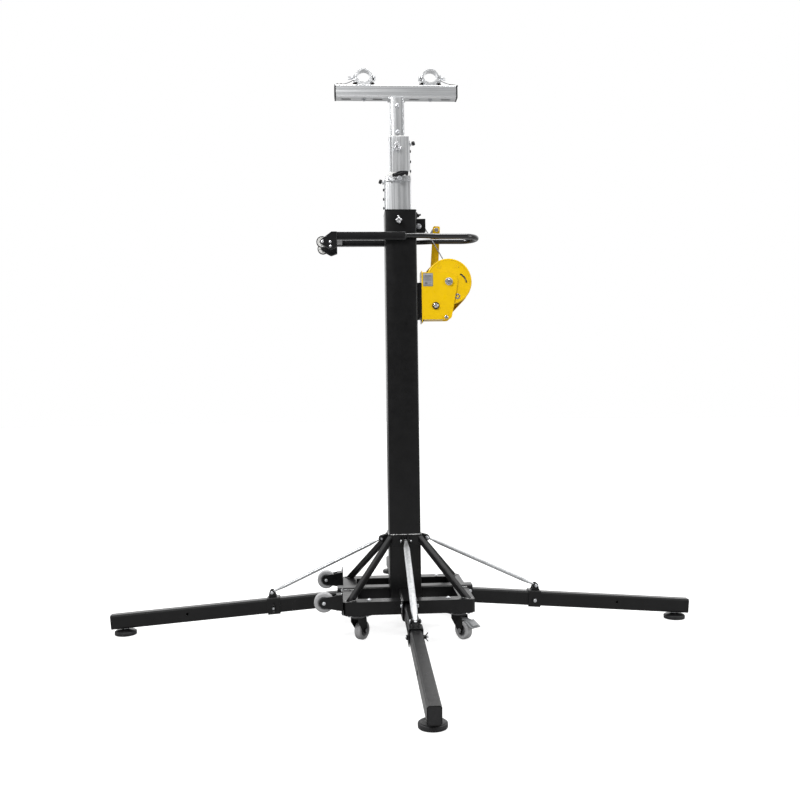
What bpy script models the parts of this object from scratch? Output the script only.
"""Crank lighting stand: a hand-winched telescopic mast on a four-legged rolling base.

Metres, +Z up. The origin is on the floor under the mast's axis, -Y is the front and the winch is on +X.
"""

import math

import bmesh
import bpy
from mathutils import Matrix, Vector

# ---------------------------------------------------------------- driving dimensions
GAP = 0.0003  # between pieces that touch

MAST_SIZE = 0.110
MAST_WALL = 0.003
MAST_FOOT = 0.080
MAST_TOP = 1.474

# name: (left face, right face, foot, top) of the sliding square tubes
SECTIONS = {
    "mast_section_2": (-0.051, 0.039, 0.150, 1.595),
    "mast_section_3": (-0.035, 0.035, 0.262, 1.737),
    "mast_section_4": (-0.031, 0.019, 0.350, 1.8777),
}
SECTION_WALL = 0.003

BAR_HALF_LENGTH = 0.2155
BAR_MIDDLE = -0.008
BAR_SIZE = 0.045
BAR_FOOT = 1.878

CLAMPS_AT = {"left": -0.1220, "right": 0.1150}
CLAMP_BORE = 0.0242
CLAMP_SKIN = 0.0062
CLAMP_WIDTH = 0.032
CLAMP_HEIGHT = 1.9525
CLAMP_PINCH = 0.0075  # how far the lower half stands above a round bore, closed on no pipe
CLAMP_HINGE = 0.0368

BASE_HALF = 0.220
BEAM_WIDTH = 0.050
BEAM_FOOT = 0.095
BEAM_TOP = 0.139
BEAM_WALL = 0.0025
SLEEVE_WIDTH = 0.050
SLEEVE_FOOT = 0.076
SLEEVE_TOP = 0.146
SLEEVE_END = 0.240
SLEEVE_WALL = 0.003

COLLAR_FOOT = 0.296
COLLAR_TOP = 0.334
COLLAR_HALF = 0.059
STRUT_SIZE = 0.020
STRUT_REACH = 0.203

LEG_WIDTH = 0.038
LEG_HEIGHT = 0.050
LEG_WALL = 0.0025
LEG_SLOPE = math.atan(0.0767)
LEG_DATUM = (0.235, 0.131)  # radius and height of a point on the leg's top line
LEG_INNER = -0.135
LEG_OUTER = 0.797
PAD_RADIUS = 0.0375
PAD_AT = 0.980

BRACE_TOP = (0.081, 0.315)  # radius and height of the brace's upper pivot
BRACE_FOOT = (0.470, 0.134)
BRACE_WIDTH = 0.025
BRACE_THICK = 0.010
EYE_WIDTH = 0.014
EYE_RADIUS = 0.0075
PIN_RADIUS = 0.0037

CASTER_AT = (0.170, 0.175)
CASTER_WHEEL = 0.0315
CASTER_TREAD = 0.024
CASTER_TRAIL = 0.022
SIDE_WHEEL = 0.0330
SIDE_WHEEL_AT = (-0.283, 0.190, 0.136)
HANDLE_WHEEL = 0.0200
HANDLE_WHEEL_AT = (-0.2757, 0.0700, 1.3576)

ARM_HALF = 0.0140
ARM_INNER, ARM_OUTER = 0.0555, 0.0700
HANDLE_Z = 1.3790
LOOP_ROOT = 0.0632  # where the loop's tube leaves each arm
LOOP_Y = 0.0560
LOOP_Z = 1.3803
LOOP_TUBE = 0.0075
LOOP_END = 0.283

DRUM_AT = (0.168, 1.2225)
CRANK_AT = (0.1204, 1.1370)
MODULE = 0.0030
DRUM_TEETH = 52
PINION_TEETH = 13
DRUM_FLANGE = 0.082
BARREL = 0.026
SLOT_AT = (0.1940, 1.2152)  # centre of the curved slot in the near flange
SLOT_RADIUS = 0.0370
CRANK_REACH = (0.0191, 0.2910)  # from the crank shaft to the grip's axis

CABLE = 0.002
PULLEY_AT = (0.0665, 1.422)
PULLEY_ROPE = 0.018

SIDES = {"right": 0.0, "rear": 90.0, "left": 180.0, "front": 270.0}

for old in list(bpy.data.objects):
    bpy.data.objects.remove(old, do_unlink=True)


# ---------------------------------------------------------------- materials
def material(name, colour, roughness, metallic):
    made = bpy.data.materials.new(name)
    made.use_nodes = True
    shader = made.node_tree.nodes["Principled BSDF"]
    shader.inputs["Base Color"].default_value = (*colour, 1.0)
    shader.inputs["Roughness"].default_value = roughness
    shader.inputs["Metallic"].default_value = metallic
    return made


LOOKS = {
    "black": ((0.013, 0.013, 0.014), 0.42, 0.0),
    "gloss_black": ((0.010, 0.010, 0.011), 0.22, 0.0),
    "aluminium": ((0.62, 0.63, 0.64), 0.38, 0.95),
    "yellow": ((0.86, 0.56, 0.01), 0.38, 0.0),
    "zinc": ((0.70, 0.71, 0.72), 0.30, 0.95),
    "chrome": ((0.78, 0.78, 0.80), 0.16, 1.0),
    "steel": ((0.45, 0.45, 0.46), 0.35, 1.0),
    "grey_tyre": ((0.30, 0.30, 0.31), 0.62, 0.0),
    "black_tyre": ((0.014, 0.014, 0.015), 0.62, 0.0),
    "grip": ((0.016, 0.016, 0.017), 0.50, 0.0),
    "pedal": ((0.36, 0.37, 0.38), 0.45, 0.0),
}


# ---------------------------------------------------------------- shape helpers
def place(along, u, v, at):
    """A point with coordinates u, v across an axis and `at` along it."""
    return {"x": (at, u, v), "y": (u, at, v), "z": (u, v, at)}[along]


def to_object(name, bm, matrix=None):
    bmesh.ops.recalc_face_normals(bm, faces=bm.faces)
    if matrix is not None:
        bmesh.ops.transform(bm, matrix=matrix, verts=bm.verts)
    mesh = bpy.data.meshes.new(name)
    bm.to_mesh(mesh)
    bm.free()
    made = bpy.data.objects.new(name, mesh)
    bpy.context.collection.objects.link(made)
    return made


def prism(name, outline, along, start, end, matrix=None, hole=None):
    """An outline of (u, v) points pushed along an axis, with an optional matching hole outline."""
    bm = bmesh.new()
    rings = []
    for points in [outline] + ([hole] if hole else []):
        for at in (start, end):
            rings.append([bm.verts.new(place(along, u, v, at)) for u, v in points])
    count = len(outline)
    for near, far in zip(rings[0::2], rings[1::2]):
        for i in range(len(near)):
            j = (i + 1) % len(near)
            bm.faces.new((near[i], near[j], far[j], far[i]))
    if hole:
        for end_rings in ((rings[0], rings[2]), (rings[1], rings[3])):
            for i in range(count):
                j = (i + 1) % count
                outer, inner = end_rings
                bm.faces.new((outer[i], outer[j], inner[j], inner[i]))
    else:
        bm.faces.new(rings[0])
        bm.faces.new(rings[1])
    return to_object(name, bm, matrix)


def box(name, low, high, matrix=None):
    outline = [(low[0], low[1]), (high[0], low[1]), (high[0], high[1]), (low[0], high[1])]
    return prism(name, outline, "z", low[2], high[2], matrix)


def circle(u, v, radius, count, start=0.0, turn=360.0):
    full = turn >= 360.0
    steps = count if full else count + 1
    return [
        (
            u + radius * math.cos(math.radians(start + turn * i / count)),
            v + radius * math.sin(math.radians(start + turn * i / count)),
        )
        for i in range(steps)
    ]


def rounded(low_u, high_u, low_v, high_v, radius, steps=1):
    """A rectangle's outline with round corners."""
    points = []
    corners = (
        (high_u - radius, high_v - radius, 0.0),
        (low_u + radius, high_v - radius, 90.0),
        (low_u + radius, low_v + radius, 180.0),
        (high_u - radius, low_v + radius, 270.0),
    )
    for u, v, start in corners:
        points += circle(u, v, radius, steps, start, 90.0)
    return points


def rod(name, along, u, v, radius, start, end, count=10, matrix=None):
    return prism(name, circle(u, v, radius, count), along, start, end, matrix)


def turned(name, profile, along, centre, count=24, matrix=None):
    """A profile of (radius, position) points spun about an axis, closed by itself or by the axis."""
    bm = bmesh.new()
    rings = []
    for radius, at in profile:
        if radius < 1e-6:
            rings.append([bm.verts.new(place(along, 0, 0, at))])
        else:
            ring = circle(0, 0, radius, count)
            rings.append([bm.verts.new(place(along, u, v, at)) for u, v in ring])
    pairs = list(zip(rings, rings[1:]))
    if len(rings[0]) > 1 and len(rings[-1]) > 1:
        pairs.append((rings[-1], rings[0]))
    for a, b in pairs:
        for i in range(count):
            j = (i + 1) % count
            corners = [a[i % len(a)], a[j % len(a)], b[j % len(b)], b[i % len(b)]]
            bm.faces.new(list(dict.fromkeys(corners)))
    bmesh.ops.translate(bm, verts=bm.verts, vec=Vector(centre))
    return to_object(name, bm, matrix)


def hull(points):
    """The convex outline round 2-D points, anticlockwise."""
    points = sorted(set((round(u, 7), round(v, 7)) for u, v in points))
    halves = []
    for run in (points, points[::-1]):
        half = []
        for p in run:
            while len(half) > 1:
                (au, av), (bu, bv) = half[-2], half[-1]
                if (bu - au) * (p[1] - av) - (bv - av) * (p[0] - au) > 1e-12:
                    break
                half.pop()
            half.append(p)
        halves += half[:-1]
    return halves


def combine(base, operation, others):
    """Adds a Boolean modifier for each other object, which becomes a hidden guide."""
    for other in others:
        step = base.modifiers.new(other.name, "BOOLEAN")
        step.operation = operation
        step.solver = "EXACT"
        step.object = other
        other.hide_render = True
        other.display_type = "WIRE"
    return base


def weld(base, *others):
    return combine(base, "UNION", others)


def cut(base, *others):
    return combine(base, "DIFFERENCE", others)


FINISHES = {}


def finish(made, name, look, origin=(0.0, 0.0, 0.0), sharp=32.0):
    """Names a piece, gives it its own material and puts its origin where it turns or slides."""
    made.name = name
    made.data.name = name
    shift = Vector(origin)
    made.data.transform(Matrix.Translation(-shift))
    made.location = shift
    colour, roughness, metallic = LOOKS[look]
    made.data.materials.append(material(name + "_finish", colour, roughness, metallic))
    made.data.shade_smooth()
    made.data.set_sharp_from_angle(angle=math.radians(sharp))
    FINISHES[name] = made
    return made


def turn_z(degrees):
    return Matrix.Rotation(math.radians(degrees), 4, "Z")


# ---------------------------------------------------------------- mast
def outer_mast():
    half = MAST_SIZE / 2
    inner = half - MAST_WALL
    tube = prism(
        "mast",
        rounded(-half, half, -half, half, 0.006, 2),
        "z",
        MAST_FOOT,
        MAST_TOP,
        hole=rounded(-inner, inner, -inner, inner, 0.003, 2),
    )
    # inner guide pads at the mouth keep section 2 in line and leave the cable's gap free
    pads = []
    for side in (-1, 1):
        low, high = sorted((side * 0.0455, side * (inner + 0.001)))
        pads.append(box("mouth_pad", (-0.030, low, 1.430), (0.018, high, 1.466)))
        low, high = sorted((side * 0.020, side * 0.038))
        pads.append(box("mouth_pad_right", (0.0396, low, 1.430), (inner + 0.001, high, 1.466)))
    # the winch stands on a channel welded to the right face
    channel = prism(
        "winch_channel",
        [(half - 0.001, -0.040), (0.0712, -0.040), (0.0712, 0.040), (half - 0.001, 0.040)],
        "z",
        1.094,
        1.219,
    )
    channel_space = box("channel_space", (half + 0.0004, -0.034, 1.080), (0.0662, 0.034, 1.230))
    # cheeks and a roof hold the head pulley
    cheeks = prism(
        "head_box",
        [(half - 0.001, 1.401), (0.0900, 1.401), (0.0900, 1.449), (half - 0.001, 1.449)],
        "y",
        -0.017,
        0.017,
    )
    head_space = box("head_space", (half + 0.0004, -0.0140, 1.390), (0.0950, 0.0140, 1.446))
    head_slot = box("head_slot", (inner - 0.001, -0.0068, 1.394), (half + 0.002, 0.0068, 1.4455))
    pulley_pin = rod("pulley_pin", "y", *PULLEY_AT, 0.0040, -0.0155, 0.0155, 10)
    # screw block at the mouth and the boss of the lock knob
    block = box("mouth_block", (half - 0.001, -0.011, 1.453), (0.0620, 0.011, 1.4735))
    boss = rod("knob_boss", "y", -0.008, 1.435, 0.0115, -0.0615, -half + 0.001, 20)
    bore = rod("knob_bore", "y", -0.008, 1.435, 0.0045, -0.0700, -0.0500, 10)
    weld(tube, *pads, channel, cheeks, block, boss)
    cut(tube, channel_space, head_space, head_slot, bore)
    weld(tube, pulley_pin)
    return finish(tube, "outer_mast", "black")


def sliding_section(name):
    left, right, foot, top = SECTIONS[name]
    half = (right - left) / 2
    wall = SECTION_WALL
    return prism(
        name,
        rounded(left, right, -half, half, 0.004, 2),
        "z",
        foot,
        top,
        hole=rounded(left + wall, right - wall, wall - half, half - wall, 0.002, 2),
    )


def foot_pads(name, inner_of, cable_side, spans):
    """Slider blocks at a section's foot: in front, behind, and in the cable's gap beside the cable."""
    left, right, foot, _ = SECTIONS[name]
    low_x, high_x, low_y, high_y = inner_of
    half = (right - left) / 2
    middle = (left + right) / 2
    made = []
    for side in (-1, 1):
        a, b = sorted((side * (half - 0.001), side * (high_y - 0.0006)))
        made.append(box("slider", (middle - 0.012, a, foot + 0.004), (middle + 0.012, b, foot + 0.034)))
    if cable_side > 0:
        gap = (right - 0.001, high_x - 0.0006)
    else:
        gap = (low_x + 0.0006, left + 0.001)
    for a, b in spans:
        made.append(box("slider_side", (gap[0], a, foot + 0.004), (gap[1], b, foot + 0.034)))
    return made


def mouth_pads(name, carried, cable_side):
    """Guide blocks inside a section's mouth, round the next section."""
    left, right, _, top = SECTIONS[name]
    c_left, c_right = SECTIONS[carried][:2]
    half = (right - left) / 2 - SECTION_WALL
    c_half = (c_right - c_left) / 2
    middle = (c_left + c_right) / 2
    made = []
    for side in (-1, 1):
        a, b = sorted((side * (c_half + 0.0005), side * (half + 0.001)))
        made.append(box("guide", (middle - 0.010, a, top - 0.040), (middle + 0.010, b, top - 0.006)))
    a, b = -c_half + 0.002, -c_half + 0.012
    if cable_side > 0:
        span = (c_right + 0.0005, right - SECTION_WALL + 0.001)
    else:
        span = (left + SECTION_WALL - 0.001, c_left - 0.0005)
    made.append(box("guide_side", (span[0], a, top - 0.040), (span[1], b, top - 0.006)))
    return made


# rope lines inside the mast: x of each vertical run, and the rope radius of each sheave
RUN_RIGHT = PULLEY_AT[0] - PULLEY_ROPE
RUN_LEFT = -0.0415
RUN_INNER = 0.0255
SHEAVE_2 = ((RUN_RIGHT + RUN_LEFT) / 2, (RUN_RIGHT - RUN_LEFT) / 2, 0.200)
SHEAVE_3 = ((RUN_INNER + RUN_LEFT) / 2, (RUN_INNER - RUN_LEFT) / 2, 0.304)
TOP_SHEAVE = 0.009  # rope radius of the flat sheaves under each section's mouth
TOP_SHEAVE_2_Z = 1.522
TOP_SHEAVE_3_Z = 1.680
DEAD_END_Z = 0.362
LEVER_AT = (-0.004, 1.5810)  # x and z of the lever's screw on section 2


def section_2():
    name = "mast_section_2"
    tube = sliding_section(name)
    inner = MAST_SIZE / 2 - MAST_WALL
    x, rope, z = SHEAVE_2
    pieces = foot_pads(name, (-inner, inner, -inner, inner), 1, ((-0.039, -0.027), (0.027, 0.039)))
    pieces += mouth_pads(name, "mast_section_3", -1)
    # strap across the front under the clamping lever, with its boss
    strap = prism(
        "strap",
        [(-0.051, -0.0440), (-0.051, -0.0475), (-0.030, -0.0535), (-0.006, -0.0555)]
        + [(0.018, -0.0535), (0.039, -0.0475), (0.039, -0.0440)],
        "z",
        LEVER_AT[1] - 0.0055,
        LEVER_AT[1] + 0.0045,
    )
    side_plate = box("side_plate", (-0.0545, -0.012, 1.479), (-0.0500, 0.012, 1.5880))
    lever_boss = rod("lever_boss", "y", *LEVER_AT, 0.0080, -0.0600, -0.0440, 10)
    lever_bore = rod("lever_bore", "y", *LEVER_AT, 0.0043, -0.0700, -0.0530, 10)
    weld(tube, *pieces, strap, side_plate, lever_boss)
    cut(tube, lever_bore, box("sheave_slot", (0.034, -0.0065, 0.140), (0.041, 0.0065, 0.2540)))
    weld(tube, rod("axle", "y", x, z, 0.0050, -0.0435, 0.0435, 10))
    weld(tube, rod("top_axle", "x", TOP_SHEAVE, TOP_SHEAVE_2_Z, 0.0030, -0.0495, -0.0385, 10))
    return finish(tube, name, "aluminium")


def section_3():
    name = "mast_section_3"
    tube = sliding_section(name)
    x, rope, z = SHEAVE_3
    pieces = foot_pads(name, (-0.048, 0.036, -0.042, 0.042), -1, ((-0.029, -0.017), (0.026, 0.031)))
    pieces += mouth_pads(name, "mast_section_4", 1)
    side_plate = box("side_plate", (0.0340, -0.012, 1.615), (0.0385, 0.012, 1.7280))
    boss = rod("knob_boss", "y", -0.010, 1.695, 0.0100, -0.0400, -0.0340, 20)
    bore = rod("knob_bore", "y", -0.010, 1.695, 0.0045, -0.0500, -0.0300, 10)
    weld(tube, *pieces, side_plate, boss)
    cut(tube, bore, box("sheave_slot", (-0.037, 0.0115, 0.250), (-0.031, 0.0245, 0.3450)))
    weld(tube, rod("axle", "y", x, z, 0.0050, -0.0335, 0.0335, 10))
    weld(tube, rod("top_axle", "x", TOP_SHEAVE, TOP_SHEAVE_3_Z, 0.0030, 0.0225, 0.0335, 10))
    return finish(tube, name, "aluminium")


def section_4():
    name = "mast_section_4"
    tube = sliding_section(name)
    pieces = foot_pads(name, (-0.032, 0.032, -0.032, 0.032), 1, ((-0.019, -0.007),))
    # a fork that the rope's end hangs in, open along the rope
    fork = [
        box("rope_fork", (0.0180, y, 0.352), (0.0300, y + 0.0026, 0.3610)) for y in (-0.0053, 0.0027)
    ]
    weld(tube, *pieces, *fork)
    return finish(tube, name, "aluminium")


def t_bar():
    half = BAR_SIZE / 2
    low, high = BAR_MIDDLE - BAR_HALF_LENGTH, BAR_MIDDLE + BAR_HALF_LENGTH
    top = BAR_FOOT + BAR_SIZE
    wall = 0.0025
    tube = prism(
        "bar",
        rounded(-half, half, BAR_FOOT, top, 0.003),
        "x",
        low,
        high,
        hole=rounded(wall - half, half - wall, BAR_FOOT + wall, top - wall, 0.0015),
    )
    holes = []
    for side, centre in zip((-1, 1), CLAMPS_AT.values()):
        holes.append(rod("bolt_hole", "z", centre, 0.0, 0.0058, BAR_FOOT - 0.01, top + 0.01, 10))
        for at in (0.065, 0.178):
            middle = BAR_MIDDLE + side * at
            slot = rounded(middle - 0.018, middle + 0.018, -0.005, 0.005, 0.0049, 4)
            holes.append(prism("slot", slot, "z", BAR_FOOT - 0.01, BAR_FOOT + 0.01))
    return finish(cut(tube, *holes), "t_bar", "aluminium")


def half_ring(name, centre, upper):
    """Half of a clamp's ring, from just past its split line."""
    start = 0.0 if upper else 180.0
    outer = circle(0, 0, CLAMP_BORE + CLAMP_SKIN, 12, start, 180.0)
    inner = circle(0, 0, CLAMP_BORE - 0.0004, 8, start, 180.0)[::-1]
    if not upper:
        inner = [(u, min(v + CLAMP_PINCH, 0.0)) for u, v in inner]
        outer = [(u, max(v, -0.0284)) for u, v in outer]
    shift = 0.0006 if upper else -0.0006
    outline = [(centre + u, CLAMP_HEIGHT + shift + v) for u, v in outer + inner]
    return prism(name, outline, "y", -CLAMP_WIDTH / 2, CLAMP_WIDTH / 2)


def clamp(side, outward):
    """A half coupler on the bar. Outward is the side of its wing nut, away from the mast."""
    centre = CLAMPS_AT[side]
    inward = -outward
    top = BAR_FOOT + BAR_SIZE + GAP
    hinge = centre + inward * CLAMP_HINGE
    height = CLAMP_HEIGHT

    def span(name, a, b, y0, y1, z0, z1):
        low, high = sorted((centre + a, centre + b))
        return box(name, (low, y0, z0), (high, y1, z1))

    lower = half_ring("lower", centre, False)
    seat = [(centre - 0.021, top), (centre + 0.021, top)]
    seat += [(centre + 0.018, height - 0.018), (centre - 0.018, height - 0.018)]
    parts = [prism("seat", seat, "y", -0.016, 0.016)]
    # lug on the wing-nut side, and knuckles with their pin on the other
    parts.append(
        span("lug", outward * 0.0265, outward * 0.0385, -0.010, 0.010, height - 0.0245, height - 0.0015)
    )
    for y0, y1 in ((-0.0125, -0.0066), (0.0066, 0.0125)):
        parts.append(span("arm", inward * 0.0265, inward * 0.0365, y0, y1, height - 0.0245, height - 0.0010))
        parts.append(rod("knuckle", "y", hinge, height, 0.0058, y0, y1, 10))
    clear = prism("bore", circle(centre, height + CLAMP_PINCH, CLAMP_BORE, 24), "y", -0.03, 0.03)
    bolt = rod("bolt", "z", centre, 0.0, 0.0050, BAR_FOOT - 0.014, height - 0.0200, 10)
    nut = prism("nut", circle(centre, 0.0, 0.0098, 6), "z", BAR_FOOT - 0.0090, BAR_FOOT - GAP)
    pin = rod("pin", "y", hinge, height, 0.0028, -0.0150, 0.0150, 10)
    weld(lower, *parts)
    cut(lower, clear)
    weld(lower, bolt, nut, pin)
    finish(lower, "clamp_lower_" + side, "aluminium", (centre, 0.0, height))

    upper = half_ring("upper", centre, True)
    arm = span("arm", inward * 0.0275, inward * 0.0345, -0.0060, 0.0060, height + 0.0008, height + 0.0120)
    knuckle = rod("knuckle", "y", hinge, height, 0.0056, -0.0060, 0.0060, 10)
    lug = span("lug", outward * 0.0265, outward * 0.0385, -0.010, 0.010, height + 0.0008, height + 0.0110)
    # wing nut at the split line: a neck, a round hub and two thin wings pointing away from the ring
    neck = span("neck", outward * 0.0375, outward * 0.0402, -0.0030, 0.0030, height + 0.0012, height + 0.0062)
    hub_a, hub_b = sorted((centre + outward * 0.0390, centre + outward * 0.0455))
    hub = rod("hub", "x", 0.0, height + 0.0010, 0.0060, hub_a, hub_b, 10)
    wings = [
        span("wing", outward * 0.0430, outward * 0.0555, -0.0050, 0.0050, z - 0.0009, z + 0.0009)
        for z in (height - 0.0034, height + 0.0042)
    ]
    weld(upper, arm, knuckle, lug, neck, hub, *wings)
    bore = prism("bore", circle(centre, height, CLAMP_BORE, 24), "y", -0.03, 0.03)
    cut(upper, bore, rod("pin_hole", "y", hinge, height, 0.0032, -0.02, 0.02, 10))
    finish(upper, "clamp_upper_" + side, "aluminium", (hinge, 0.0, height))


# ---------------------------------------------------------------- locks
def pull_knob(name, x, z, face, grip):
    """A pull plunger: a stem in its boss, a round shoulder and a cross grip."""
    stem = rod("stem", "y", x, z, 0.0040, face - 0.0200, face + 0.0070, 10)
    shoulder = turned(
        "shoulder",
        [(0.0, face - 0.0075), (0.0075, face - 0.0075), (0.0085, face - 0.0060)]
        + [(0.0085, face - GAP), (0.0, face - GAP)],
        "y",
        (x, 0.0, z),
        14,
    )
    cross = rod("cross", "z" if grip else "x", 0.0, 0.0, 0.0030, -0.013, 0.013, 10)
    tilt = 20.0 if grip else 0.0
    matrix = Matrix.Translation((x, face - 0.0165, z)) @ Matrix.Rotation(math.radians(tilt), 4, "Y")
    cross.data.transform(matrix)
    weld(stem, shoulder, cross)
    return finish(stem, name, "chrome", (x, face, z))


def lock_lever():
    """A clamping lever whose screw turns in the boss of section 2."""
    x, z = LEVER_AT
    screw = rod("screw", "y", x, z, 0.0040, -0.0640, -0.0545, 10)
    hub = rod("hub", "y", x, z, 0.0078, -0.0720, -0.0603, 16)
    outline = [(-0.0245, 0.0080), (-0.0040, 0.0050), (0.0050, 0.0050), (0.0200, 0.0135), (0.0240, 0.0090)]
    outline += [(0.0310, 0.0090), (0.0310, 0.0220), (0.0280, 0.0250), (0.0030, 0.0250), (-0.0130, 0.0180)]
    outline += [(-0.0225, 0.0150)]
    blade = prism("blade", [(x + u, z + v) for u, v in outline], "y", -0.0715, -0.0625)
    weld(screw, hub, blade)
    return finish(screw, "lock_lever", "gloss_black", (x, -0.060, z))


# ---------------------------------------------------------------- hoist cable and sheaves
def sheave(name, along, centre, rope, width, bore):
    """A grooved wheel whose rope lies at radius `rope` from its axis."""
    root = rope - CABLE - 0.0012
    rim = rope + 0.0012
    half = width / 2
    profile = [(bore, -half), (rim, -half), (root, -half * 0.45)]
    profile += [(root, half * 0.45), (rim, half), (bore, half)]
    made = turned(name, profile, along, centre, 24 if rope > 0.012 else 16)
    return finish(made, name, "steel", centre)


def arc_points(centre, radius, start, end, step=22.5):
    """Points of an arc in the XZ plane, from one angle to another in degrees."""
    count = max(2, int(abs(end - start) / step))
    return [
        (
            centre[0] + radius * math.cos(math.radians(start + (end - start) * i / count)),
            centre[1] + radius * math.sin(math.radians(start + (end - start) * i / count)),
        )
        for i in range(count + 1)
    ]


def cable(name, points):
    """A rope along its route, as a round curve with filled caps."""
    curve = bpy.data.curves.new(name, "CURVE")
    curve.dimensions = "3D"
    curve.bevel_depth = CABLE
    curve.bevel_resolution = 2
    curve.use_fill_caps = True
    spline = curve.splines.new("POLY")
    spline.points.add(len(points) - 1)
    for spot, point in zip(spline.points, points):
        spot.co = (*point, 1.0)
    made = bpy.data.objects.new(name, curve)
    bpy.context.collection.objects.link(made)
    colour, roughness, metallic = LOOKS["steel"]
    curve.materials.append(material(name + "_finish", colour, roughness, metallic))
    return made


def hoist_cable():
    """From the drum's barrel over the head pulley and down the right gap, round section 2's foot sheave."""
    drum = Vector(DRUM_AT)
    pulley = Vector(PULLEY_AT)
    barrel = BARREL + CABLE + 0.0012
    line = drum - pulley
    length = line.length
    # outer tangent on the upper right of both circles
    lean = math.asin((barrel - PULLEY_ROPE) / length)
    heading = math.atan2(line.y, line.x)
    normal = heading + math.pi / 2 + lean
    normal_degrees = math.degrees(normal)
    on_drum = arc_points(drum, barrel, normal_degrees - 60.0, normal_degrees)
    on_pulley = arc_points(pulley, PULLEY_ROPE, normal_degrees, 180.0)
    route = on_drum + on_pulley
    x, rope, z = SHEAVE_2
    route += [(RUN_RIGHT, 1.0), (RUN_RIGHT, 0.6)]
    route += arc_points((x, z), rope, 0.0, -90.0, 15.0)
    return cable("hoist_cable", [(u, 0.0, v) for u, v in route])


def inner_cables():
    """The rope's runs on sections 2 and 3: up a gap, over the flat top sheave and down again."""
    x, rope, z = SHEAVE_2
    x3, rope3, z3 = SHEAVE_3
    up = [(u, 0.0, v) for u, v in arc_points((x, z), rope, 264.0, 180.0, 15.0)]
    bend = arc_points((0.0, TOP_SHEAVE_2_Z), TOP_SHEAVE, 0.0, 180.0, 30.0)
    over = [(RUN_LEFT, TOP_SHEAVE - u, v) for u, v in bend]
    down = [(RUN_LEFT, 2 * TOP_SHEAVE, 0.9), (RUN_LEFT, 2 * TOP_SHEAVE, z3 + 0.004)]
    cable("cable_run_2", up + over + down)
    under = [(u, 2 * TOP_SHEAVE, v) for u, v in arc_points((x3, z3), rope3, 212.0, 360.0, 18.0)]
    bend = arc_points((0.0, TOP_SHEAVE_3_Z), TOP_SHEAVE, 0.0, 180.0, 30.0)
    top = [(RUN_INNER, TOP_SHEAVE + u, v) for u, v in bend]
    cable("cable_run_3", under + top + [(RUN_INNER, 0.0, 0.9), (RUN_INNER, 0.0, DEAD_END_Z)])


# ---------------------------------------------------------------- handle and wheels
def push_handle():
    arms = []
    wheel_x, wheel_y, wheel_z = HANDLE_WHEEL_AT
    for side in (-1, 1):
        low, high = sorted((side * ARM_INNER, side * ARM_OUTER))
        outline = rounded(low, high, HANDLE_Z - ARM_HALF, HANDLE_Z + ARM_HALF, 0.0025)
        arms.append(prism("arm", outline, "x", -0.2320, 0.0170))
        # block across the arm's end, and the two plates that hold the wheel between them
        low, high = sorted((side * 0.0600, side * 0.0790))
        arms.append(box("block", (-0.2340, low, HANDLE_Z - 0.0130), (-0.2240, high, HANDLE_Z + 0.0130)))
        plate = hull(
            circle(wheel_x, wheel_z, 0.0085, 12)
            + circle(-0.2465, 1.3400, 0.0075, 12)
            + [(-0.2430, HANDLE_Z + 0.0140), (-0.2245, HANDLE_Z + 0.0140), (-0.2245, 1.3400)]
        )
        for inner in (0.0600, 0.0772):
            low, high = sorted((side * inner, side * (inner + 0.0028)))
            arms.append(prism("wheel_plate", plate, "y", low, high))
        low, high = sorted((side * 0.0605, side * 0.0820))
        arms.append(rod("axle", "y", wheel_x, wheel_z, 0.0040, low, high, 10))
    cross = box("cross", (-0.2310, -0.060, HANDLE_Z - 0.0125), (-0.2060, 0.060, HANDLE_Z + 0.0125))
    # loop of round tube, drawing in behind the mast and swept along a U
    bend = LOOP_END - LOOP_TUBE - LOOP_Y
    path = [(0.010, -LOOP_ROOT), (0.062, -LOOP_ROOT), (0.100, -LOOP_Y - 0.0025), (0.135, -LOOP_Y)]
    path += circle(bend, 0.0, LOOP_Y, 12, -90.0, 180.0)
    path += [(0.135, LOOP_Y), (0.100, LOOP_Y + 0.0025), (0.062, LOOP_ROOT), (0.010, LOOP_ROOT)]
    bm = bmesh.new()
    rings = []
    for i, (x, y) in enumerate(path):
        ahead = Vector(path[min(i + 1, len(path) - 1)]) - Vector(path[max(i - 1, 0)])
        side = Vector((ahead.y, -ahead.x)).normalized()
        ring = []
        for u, v in circle(0, 0, LOOP_TUBE, 12):
            ring.append(bm.verts.new((x + side.x * u, y + side.y * u, LOOP_Z + v)))
        rings.append(ring)
    for a, b in zip(rings, rings[1:]):
        for i in range(12):
            j = (i + 1) % 12
            bm.faces.new((a[i], a[j], b[j], b[i]))
    bm.faces.new(rings[0])
    bm.faces.new(rings[-1])
    loop = to_object("loop", bm)
    weld(loop, *arms, cross)
    return finish(loop, "push_handle", "gloss_black")


def wheel(name, radius, width, bore, centre, look, heading=90.0):
    """A wheel about the local Y axis, turned to a heading in degrees round Z."""
    half = width / 2
    profile = [(bore, -half), (radius - 0.0050, -half), (radius, -half + 0.0055)]
    profile += [(r, -at) for r, at in profile[::-1]]
    made = turned(name, profile, "y", (0, 0, 0), 20, turn_z(heading))
    made.data.transform(Matrix.Translation(centre))
    return finish(made, name, look, centre)


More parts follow.
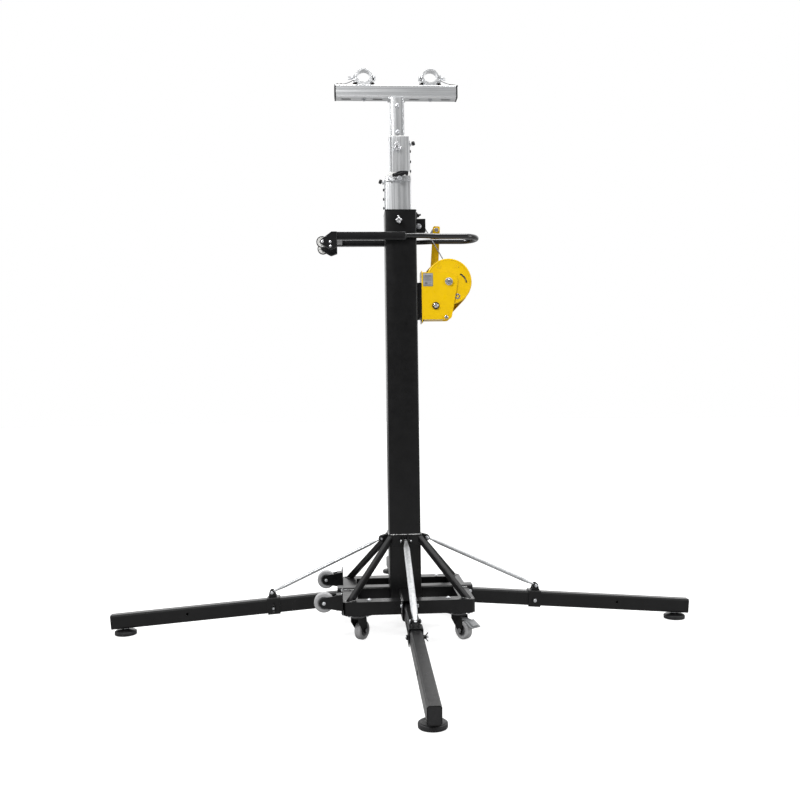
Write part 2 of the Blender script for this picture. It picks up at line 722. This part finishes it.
def side_wheel_fork(side, sign):
    x, y, z = SIDE_WHEEL_AT
    y *= sign
    plate = prism(
        "plate",
        rounded(y - 0.034, y + 0.034, 0.097, 0.176, 0.006),
        "x",
        -0.2240,
        -BASE_HALF - GAP,
    )
    cheeks = []
    for a in (-0.0195, 0.0165):
        outline = hull(circle(x, z, 0.0165, 12) + [(-0.2225, z - 0.028), (-0.2225, z + 0.028)])
        cheeks.append(prism("cheek", outline, "y", y + a, y + a + 0.0030))
    web = box("web", (-0.2420, y - 0.0180, z - 0.026), (-0.2225, y + 0.0180, z + 0.026))
    axle = rod("axle", "y", x, z, 0.0040, y - 0.0230, y + 0.0230, 10)
    weld(plate, *cheeks, web, axle)
    return finish(plate, "side_wheel_fork_" + side, "black")


# ---------------------------------------------------------------- winch
def plate_outline():
    """The side plate: a bottom edge, a slanting right edge and round corners."""
    points = [(0.0720, 1.089), (0.1640, 1.089)]
    points += circle(0.1640, 1.1030, 0.0140, 4, -70.0, 60.0)
    points += circle(0.1691, 1.2250, 0.0306, 8, -10.0, 100.0)
    points += [(0.0720, 1.2556)]
    return points


def winch_frame():
    near = prism("near", plate_outline(), "y", -0.0415, -0.0385)
    far = prism("far", plate_outline(), "y", 0.0385, 0.0415)
    back = prism("back", rounded(-0.0410, 0.0410, 1.078, 1.262, 0.008, 2), "x", 0.0714, 0.0744)
    floor = box("floor", (0.0732, -0.0396, 1.0897), (0.1500, 0.0396, 1.0926))
    tie = rod("tie", "y", 0.1567, 1.0970, 0.0045, -0.0453, 0.0412, 10)
    axle = rod("axle", "y", *DRUM_AT, 0.0080, -0.0440, 0.0440, 20)
    head = prism("head", circle(*DRUM_AT, 0.0110, 6), "y", -0.0500, -0.0410)
    holes = [
        rod("crank_hole", "y", *CRANK_AT, 0.0086, -0.06, 0.06, 20),
        rod("hub_hole", "y", *DRUM_AT, 0.0166, 0.0300, 0.0500, 24),
    ]
    for z in (1.112, 1.202):
        for y in (-0.020, 0.020):
            holes.append(rod("bolt_hole", "x", y, z, 0.0045, 0.0700, 0.0760, 10))
    weld(near, far, back, floor)
    cut(near, *holes)
    weld(near, axle, head, tie)
    return finish(near, "winch_frame", "yellow")


def gear_outline(centre, teeth, phase):
    """A spur gear's outline with straight-sided teeth that keep a little backlash."""
    pitch = MODULE * teeth / 2
    levels = ((pitch - 1.20 * MODULE, 0.330), (pitch + 0.75 * MODULE, 0.115))
    points = []
    for i in range(teeth):
        middle = phase + 2 * math.pi * i / teeth
        step = 2 * math.pi / teeth
        flank = [(r, -share) for r, share in levels] + [(r, share) for r, share in levels[::-1]]
        for r, share in flank:
            angle = middle + share * step
            points.append((centre[0] + r * math.cos(angle), centre[1] + r * math.sin(angle)))
    return points


def winch_drum():
    to_pinion = math.atan2(CRANK_AT[1] - DRUM_AT[1], CRANK_AT[0] - DRUM_AT[0])
    profile = [
        (0.0086, -0.0370),
        (DRUM_FLANGE - 0.002, -0.0370),
        (DRUM_FLANGE, -0.0350),
        (BARREL, -0.0335),
        (BARREL, 0.0335),
        (DRUM_FLANGE - 0.006, 0.0340),
        (DRUM_FLANGE - 0.006, 0.0370),
        (0.0160, 0.0370),
        (0.0160, 0.0440),
        (0.0086, 0.0440),
    ]
    drum = turned("drum", profile, "y", (DRUM_AT[0], 0.0, DRUM_AT[1]), 30)
    gear = prism("gear", gear_outline(DRUM_AT, DRUM_TEETH, to_pinion), "y", 0.0430, 0.0520)
    bore = rod("bore", "y", *DRUM_AT, 0.0088, 0.0370, 0.0600, 24)
    # slot in the near flange where the rope's end is clipped
    curve = circle(*SLOT_AT, SLOT_RADIUS + 0.0022, 7, 3.0, 63.0)
    curve += circle(*SLOT_AT, SLOT_RADIUS - 0.0022, 7, 3.0, 63.0)[::-1]
    slot = prism("slot", curve, "y", -0.0400, -0.0320)
    weld(drum, gear)
    cut(drum, bore, slot)
    return finish(drum, "winch_drum", "yellow", (DRUM_AT[0], 0.0, DRUM_AT[1]))


def gear_cover():
    """A guard open towards the side plate, round the drum gear and the pinion."""

    def outline(shrink):
        return hull(
            circle(*DRUM_AT, 0.0860 - shrink, 40)
            + circle(*CRANK_AT, 0.0450 - shrink, 28)
            + circle(0.1640, 1.1110, 0.0110 - shrink, 16)
        )

    shell = prism("shell", outline(0.0), "y", 0.0418, 0.0560)
    space = prism("space", outline(0.0020), "y", 0.0300, 0.0540)
    hole = rod("shaft_hole", "y", *CRANK_AT, 0.0130, 0.05, 0.07, 20)
    axle_hole = rod("axle_hole", "y", *DRUM_AT, 0.0090, 0.05, 0.07, 20)
    cut(shell, space, hole, axle_hole)
    return finish(shell, "gear_cover", "yellow")


def crank_arm():
    to_pinion = math.atan2(CRANK_AT[1] - DRUM_AT[1], CRANK_AT[0] - DRUM_AT[0])
    phase = to_pinion + math.pi + math.pi / PINION_TEETH
    shaft = rod("shaft", "y", *CRANK_AT, 0.0080, -0.0480, 0.0900, 20)
    collar = rod("collar", "y", *CRANK_AT, 0.0115, -0.0460, -0.0420, 20)
    pinion = prism("pinion", gear_outline(CRANK_AT, PINION_TEETH, phase), "y", 0.0428, 0.0526)
    hub = rod("hub", "y", *CRANK_AT, 0.0140, 0.0570, 0.0850, 20)
    grip = (CRANK_AT[0] + CRANK_REACH[0], CRANK_AT[1] + CRANK_REACH[1])
    corners = circle(grip[0] - 0.0068, grip[1] + 0.0092, 0.0055, 12)
    corners += circle(grip[0] + 0.0078, grip[1] + 0.0085, 0.0055, 12)
    blade = prism("blade", hull(circle(*CRANK_AT, 0.0160, 20) + corners), "y", 0.0845, 0.0905)
    stub = rod("stub", "y", *grip, 0.0050, 0.0790, 0.2060, 10)
    head = prism("head", circle(*grip, 0.0080, 6), "y", 0.0800, 0.0850)
    cap = rod("cap", "y", *grip, 0.0090, 0.2030, 0.2060, 10)
    weld(shaft, collar, pinion, hub, blade, stub, head, cap)
    return finish(shaft, "crank_arm", "yellow", (CRANK_AT[0], 0.0, CRANK_AT[1]))


def crank_grip():
    x, z = CRANK_AT[0] + CRANK_REACH[0], CRANK_AT[1] + CRANK_REACH[1]
    profile = [(0.0055, 0.0912), (0.0115, 0.0912), (0.0150, 0.1000), (0.0160, 0.1500)]
    profile += [(0.0140, 0.1900), (0.0120, 0.2020), (0.0055, 0.2020)]
    made = turned("grip", profile, "y", (x, 0.0, z), 20)
    return finish(made, "crank_grip", "grip", (x, 0.0, z))


# ---------------------------------------------------------------- base
def base_frame():
    inner = BASE_HALF - BEAM_WIDTH

    def ring(name, out, into, low, high, corner):
        return prism(
            name,
            rounded(-out, out, -out, out, corner),
            "z",
            low,
            high,
            hole=rounded(-into, into, -into, into, 0.002),
        )

    frame = ring("frame", BASE_HALF, inner, BEAM_FOOT, BEAM_TOP, 0.008)
    space = ring(
        "beam_space",
        BASE_HALF - BEAM_WALL,
        inner + BEAM_WALL,
        BEAM_FOOT + BEAM_WALL,
        BEAM_TOP - BEAM_WALL,
        0.006,
    )
    cut(frame, space)
    half = SLEEVE_WIDTH / 2
    start = MAST_SIZE / 2 + GAP
    wall = SLEEVE_WALL
    sleeves = []
    bores = []
    for angle in SIDES.values():
        sleeves.append(
            prism(
                "sleeve",
                rounded(-half, half, SLEEVE_FOOT, SLEEVE_TOP, 0.004),
                "x",
                start,
                SLEEVE_END,
                turn_z(angle),
            )
        )
        bores.append(
            prism(
                "sleeve_bore",
                rounded(wall - half, half - wall, SLEEVE_FOOT + wall, SLEEVE_TOP - wall, 0.002),
                "x",
                start + 0.004,
                SLEEVE_END + 0.02,
                turn_z(angle),
            )
        )
    # a floor plate under the mast ties the four sleeves together
    tie = box("tie", (-0.080, -0.080, 0.0735), (0.080, 0.080, 0.0770))
    plates = []
    drains = []
    for sx in (-1, 1):
        for sy in (-1, 1):
            x, y = sx * CASTER_AT[0], sy * CASTER_AT[1]
            low_x, high_x = sorted((sx * 0.125, sx * 0.214))
            low_y, high_y = sorted((sy * 0.140, sy * 0.214))
            plates.append(
                prism("caster_plate", rounded(low_x, high_x, low_y, high_y, 0.006), "z", 0.0918, 0.0955)
            )
            drains.append(rod("king_hole", "z", x, y, 0.0056, 0.0800, 0.1100, 10))
    weld(frame, *sleeves, tie, *plates)
    cut(frame, *bores, *drains)
    return finish(frame, "base_frame", "black")


def strut_frame():
    """The collar on the mast, its four pairs of ears with their pins, and the corner struts."""
    bore = MAST_SIZE / 2 + GAP
    collar = prism(
        "collar",
        rounded(-COLLAR_HALF, COLLAR_HALF, -COLLAR_HALF, COLLAR_HALF, 0.0075),
        "z",
        COLLAR_FOOT,
        COLLAR_TOP,
    )
    parts = []
    cores = []
    for i in range(4):
        start = Vector((0.0500, 0.0500, 0.322))
        end = Vector((STRUT_REACH, STRUT_REACH, 0.128))
        along = (end - start).normalized()
        across = Vector((-1.0, 1.0, 0.0)).normalized()
        up = along.cross(across)
        frame = Matrix((across, up, along)).transposed().to_4x4()
        matrix = turn_z(90.0 * i) @ Matrix.Translation(start) @ frame
        half = STRUT_SIZE / 2
        length = (end - start).length
        parts.append(prism("strut", rounded(-half, half, -half, half, 0.003), "z", 0.0, length, matrix))
        core = half - 0.002
        cores.append(box("core", (-core, -core, 0.050), (core, core, length + 0.02), matrix))
    ears = []
    for angle in SIDES.values():
        turn = turn_z(angle)
        for side in (-1, 1):
            low, high = sorted((side * 0.0078, side * 0.0112))
            outline = hull(
                circle(BRACE_TOP[0], BRACE_TOP[1], 0.0100, 10)
                + [(COLLAR_HALF - 0.002, COLLAR_TOP - 0.002), (COLLAR_HALF - 0.002, COLLAR_FOOT + 0.002)]
            )
            ears.append(prism("ear", outline, "y", low, high, turn))
        ears.append(rod("pin", "y", *BRACE_TOP, PIN_RADIUS, -0.0155, 0.0155, 10, turn))
        head = prism("head", circle(*BRACE_TOP, 0.0075, 6), "y", -0.0160, -0.0108, turn)
        nut = prism("nut", circle(*BRACE_TOP, 0.0075, 6), "y", 0.0108, 0.0160, turn)
        ears += [head, nut]
    weld(collar, *parts)
    cut(
        collar,
        *cores,
        box("mast_bore", (-bore, -bore, 0.10), (bore, bore, 0.40)),
        box("beam_top", (-0.30, -0.30, 0.05), (0.30, 0.30, BEAM_TOP + GAP)),
    )
    weld(collar, *ears)
    return finish(collar, "strut_frame", "black")


# ---------------------------------------------------------------- legs
def leg_matrix(angle):
    datum = Matrix.Translation((LEG_DATUM[0], 0.0, LEG_DATUM[1]))
    return turn_z(angle) @ datum @ Matrix.Rotation(LEG_SLOPE, 4, "Y")


def leg(side, angle):
    matrix = leg_matrix(angle)
    half = LEG_WIDTH / 2
    wall = LEG_WALL
    tube = prism(
        "leg", rounded(-half, half, -LEG_HEIGHT, 0.0, 0.005), "x", LEG_INNER, LEG_OUTER, matrix
    )
    space = prism(
        "leg_space",
        rounded(wall - half, half - wall, wall - LEG_HEIGHT, -wall, 0.003),
        "x",
        LEG_INNER - 0.01,
        LEG_OUTER - 0.004,
        matrix,
    )
    lock_hole = rod("lock_hole", "y", 0.532, -0.022, 0.0045, -0.03, 0.03, 10, matrix)
    foot_hole = rod("foot_hole", "z", PAD_AT, 0.0, 0.0064, 0.0, 0.060, 10, turn_z(angle))
    cut(tube, space, lock_hole, foot_hole)
    origin = turn_z(angle) @ Vector((LEG_DATUM[0], 0.0, LEG_DATUM[1]))
    finish(tube, "leg_" + side, "black", origin)

    # the foot's stem stands through the leg's lower wall, with a nut inside it
    r = PAD_AT
    profile = [
        (0.0, 0.0),
        (PAD_RADIUS - 0.003, 0.0),
        (PAD_RADIUS, 0.004),
        (PAD_RADIUS, 0.0130),
        (PAD_RADIUS - 0.006, 0.0190),
        (0.0060, 0.0190),
        (0.0060, 0.0340),
        (0.0, 0.0340),
    ]
    centre = turn_z(angle) @ Vector((r, 0.0, 0.0))
    pad = turned("foot_pad_" + side, profile, "z", centre, 20)
    finish(pad, "foot_pad_" + side, "black_tyre", centre)


def brace(side, angle):
    turn = turn_z(angle)
    top = Vector((BRACE_TOP[0], 0.0, BRACE_TOP[1]))
    foot = Vector((BRACE_FOOT[0], 0.0, BRACE_FOOT[1]))
    along = foot - top
    length = along.length
    pitch = math.atan2(-along.z, along.x)
    matrix = turn @ Matrix.Translation(top) @ Matrix.Rotation(pitch, 4, "Y")
    half = BRACE_WIDTH / 2
    eye = EYE_WIDTH / 2
    outline = [(0.0, -eye), (0.022, -eye), (0.048, -half), (length - 0.048, -half), (length - 0.022, -eye)]
    outline += [(length, -eye)] + [(x, -y) for x, y in [(length, -eye), (length - 0.022, -eye)]]
    outline += [(length - 0.048, half), (0.048, half), (0.022, eye), (0.0, eye)]
    thick = BRACE_THICK / 2
    bar = prism("bar", outline, "z", -thick, thick, matrix)
    parts = []
    holes = []
    for x in (0.0, length):
        parts.append(rod("eye", "y", x, 0.0, EYE_RADIUS, -eye, eye, 14, matrix))
        holes.append(rod("eye_hole", "y", x, 0.0, PIN_RADIUS + 0.0005, -0.02, 0.02, 10, matrix))
    weld(bar, *parts)
    cut(bar, *holes)
    finish(bar, "leg_brace_" + side, "zinc", turn @ top)


def saddle(side, angle):
    """An inverted U over the leg, with ears for the brace and a clamping bolt in its cheeks."""
    matrix = leg_matrix(angle)
    turn = turn_z(angle)
    middle = BRACE_FOOT[0] - LEG_DATUM[0] - 0.004
    half = LEG_WIDTH / 2 + 0.0008
    skin = 0.0030
    low, high = middle - 0.022, middle + 0.022
    shell = prism(
        "shell",
        rounded(-half - skin, half + skin, -LEG_HEIGHT - 0.004, 0.0040 + skin - 0.0030, 0.003),
        "x",
        low,
        high,
        matrix,
    )
    space = box("space", (low - 0.01, -half, -0.10), (high + 0.01, half, 0.0006), matrix)
    cut(shell, space)
    parts = []
    for s in (-1, 1):
        a, b = sorted((s * 0.0078, s * 0.0112))
        ear = hull(
            circle(BRACE_FOOT[0], BRACE_FOOT[1], 0.0095, 10)
            + [(BRACE_FOOT[0] - 0.018, 0.1155), (BRACE_FOOT[0] + 0.013, 0.1135)]
        )
        parts.append(prism("ear", ear, "y", a, b, turn))
    parts.append(rod("pin", "y", *BRACE_FOOT, PIN_RADIUS, -0.0155, 0.0155, 10, turn))
    parts.append(prism("head", circle(*BRACE_FOOT, 0.0075, 6), "y", -0.0160, -0.0108, turn))
    parts.append(prism("nut", circle(*BRACE_FOOT, 0.0075, 6), "y", 0.0108, 0.0160, turn))
    # bolt head on one cheek, wing nut on the other
    cheek = half + skin
    bolt_x, bolt_z = middle, -0.0300
    hexagon = circle(bolt_x, bolt_z, 0.0080, 6)
    parts.append(prism("bolt", hexagon, "y", -cheek - 0.0055, -cheek + 0.0008, matrix))
    parts.append(rod("hub", "y", bolt_x, bolt_z, 0.0065, cheek - 0.0008, cheek + 0.0110, 10, matrix))
    for lean in (-38.0, -142.0):
        wing = box("wing", (-0.0030, -0.0010, 0.0), (0.0030, 0.0010, 0.0170))
        hub_at = Matrix.Translation((bolt_x, cheek + 0.0050, bolt_z))
        wing.data.transform(matrix @ hub_at @ Matrix.Rotation(math.radians(lean), 4, "X"))
        parts.append(wing)
    weld(shell, *parts)
    finish(shell, "leg_saddle_" + side, "black", turn @ Vector((BRACE_FOOT[0], 0.0, BRACE_FOOT[1])))


# ---------------------------------------------------------------- casters
def caster(side, x, y, heading, braked):
    """Heading is the direction in which the wheel trails behind its king pin."""
    matrix = Matrix.Translation((x, y, 0.0)) @ turn_z(heading)
    t = CASTER_TRAIL
    head = turned(
        "head",
        [(0.0, 0.0780), (0.0235, 0.0800), (0.0225, 0.0900), (0.0150, 0.0914)]
        + [(0.0050, 0.0914), (0.0050, 0.0950), (0.0, 0.0950)],
        "z",
        (0, 0, 0),
        16,
        matrix,
    )
    parts = [box("crown", (-0.0210, -0.0160, 0.0770), (0.0260, 0.0160, 0.0812), matrix)]
    for a in (-0.0162, 0.0137):
        crown = [(-0.0200, 0.0805), (0.0260, 0.0805), (-0.0205, 0.066)]
        outline = hull(circle(t, CASTER_WHEEL, 0.0105, 10) + crown)
        parts.append(prism("cheek", outline, "y", a, a + 0.0025, matrix))
    parts.append(rod("axle", "y", t, CASTER_WHEEL, 0.0032, -0.0200, 0.0200, 10, matrix))
    parts.append(prism("axle_head", circle(t, CASTER_WHEEL, 0.0062, 6), "y", -0.0200, -0.0160, matrix))
    parts.append(prism("axle_nut", circle(t, CASTER_WHEEL, 0.0062, 6), "y", 0.0160, 0.0200, matrix))
    if braked:
        parts.append(rod("pedal_pin", "y", 0.0020, 0.0710, 0.0022, -0.0150, 0.0150, 10, matrix))
    weld(head, *parts)
    finish(head, "caster_fork_" + side, "black", (x, y, 0.0914))
    centre = matrix @ Vector((t, 0.0, CASTER_WHEEL))
    wheel("caster_wheel_" + side, CASTER_WHEEL, CASTER_TREAD, 0.0038, centre, "grey_tyre", heading)
    if braked:
        outline = [(-0.0030, 0.0668), (0.0100, 0.0668), (0.0340, 0.0668), (0.0560, 0.0650), (0.0780, 0.0530)]
        outline += [(0.0790, 0.0550), (0.0570, 0.0675), (0.0350, 0.0694), (0.0060, 0.0735), (-0.0030, 0.0750)]
        pedal = prism("pedal", outline, "y", -0.0120, 0.0120, matrix)
        tread_outline = [(0.0480, 0.0640), (0.0790, 0.0470), (0.0805, 0.0500), (0.0490, 0.0680)]
        tread = prism("tread", tread_outline, "y", -0.0210, 0.0210, matrix)
        pin_hole = rod("pin_hole", "y", 0.0020, 0.0710, 0.0026, -0.03, 0.03, 10, matrix)
        weld(pedal, tread)
        cut(pedal, pin_hole)
        finish(pedal, "brake_pedal_" + side, "pedal", matrix @ Vector((0.0020, 0.0, 0.0710)))


# ---------------------------------------------------------------- build
outer_mast()
section_2()
section_3()
section_4()
t_bar()
clamp("left", -1)
clamp("right", 1)
pull_knob("lock_knob_outer", -0.008, 1.435, -0.0615, True)
pull_knob("lock_knob_section_3", -0.010, 1.695, -0.0400, False)
lock_lever()
sheave("head_pulley", "y", (PULLEY_AT[0], 0.0, PULLEY_AT[1]), PULLEY_ROPE, 0.0100, 0.0046)
sheave("foot_sheave_2", "y", (SHEAVE_2[0], 0.0, SHEAVE_2[2]), SHEAVE_2[1], 0.0090, 0.0056)
sheave("foot_sheave_3", "y", (SHEAVE_3[0], 2 * TOP_SHEAVE, SHEAVE_3[2]), SHEAVE_3[1], 0.0090, 0.0056)
sheave("top_sheave_2", "x", (RUN_LEFT, TOP_SHEAVE, TOP_SHEAVE_2_Z), TOP_SHEAVE, 0.0065, 0.0034)
sheave("top_sheave_3", "x", (RUN_INNER, TOP_SHEAVE, TOP_SHEAVE_3_Z), TOP_SHEAVE, 0.0065, 0.0034)
hoist_cable()
inner_cables()
push_handle()
winch_frame()
gear_cover()
winch_drum()
crank_arm()
crank_grip()
base_frame()
strut_frame()
for side_name, turn_angle in SIDES.items():
    leg(side_name, turn_angle)
    brace(side_name, turn_angle)
    saddle(side_name, turn_angle)
for side_name, sign in (("front", -1), ("rear", 1)):
    side_wheel_fork(side_name, sign)
    at = (SIDE_WHEEL_AT[0], sign * SIDE_WHEEL_AT[1], SIDE_WHEEL_AT[2])
    wheel("side_wheel_" + side_name, SIDE_WHEEL, 0.0280, 0.0046, at, "grey_tyre", 0.0)
    at = (HANDLE_WHEEL_AT[0], sign * HANDLE_WHEEL_AT[1], HANDLE_WHEEL_AT[2])
    wheel("handle_wheel_" + side_name, HANDLE_WHEEL, 0.0110, 0.0046, at, "black_tyre", 0.0)
caster("front_left", -CASTER_AT[0], -CASTER_AT[1], 55.0, False)
caster("front_right", CASTER_AT[0], -CASTER_AT[1], -53.0, True)
caster("rear_left", -CASTER_AT[0], CASTER_AT[1], 140.0, True)
caster("rear_right", CASTER_AT[0], CASTER_AT[1], 25.0, False)
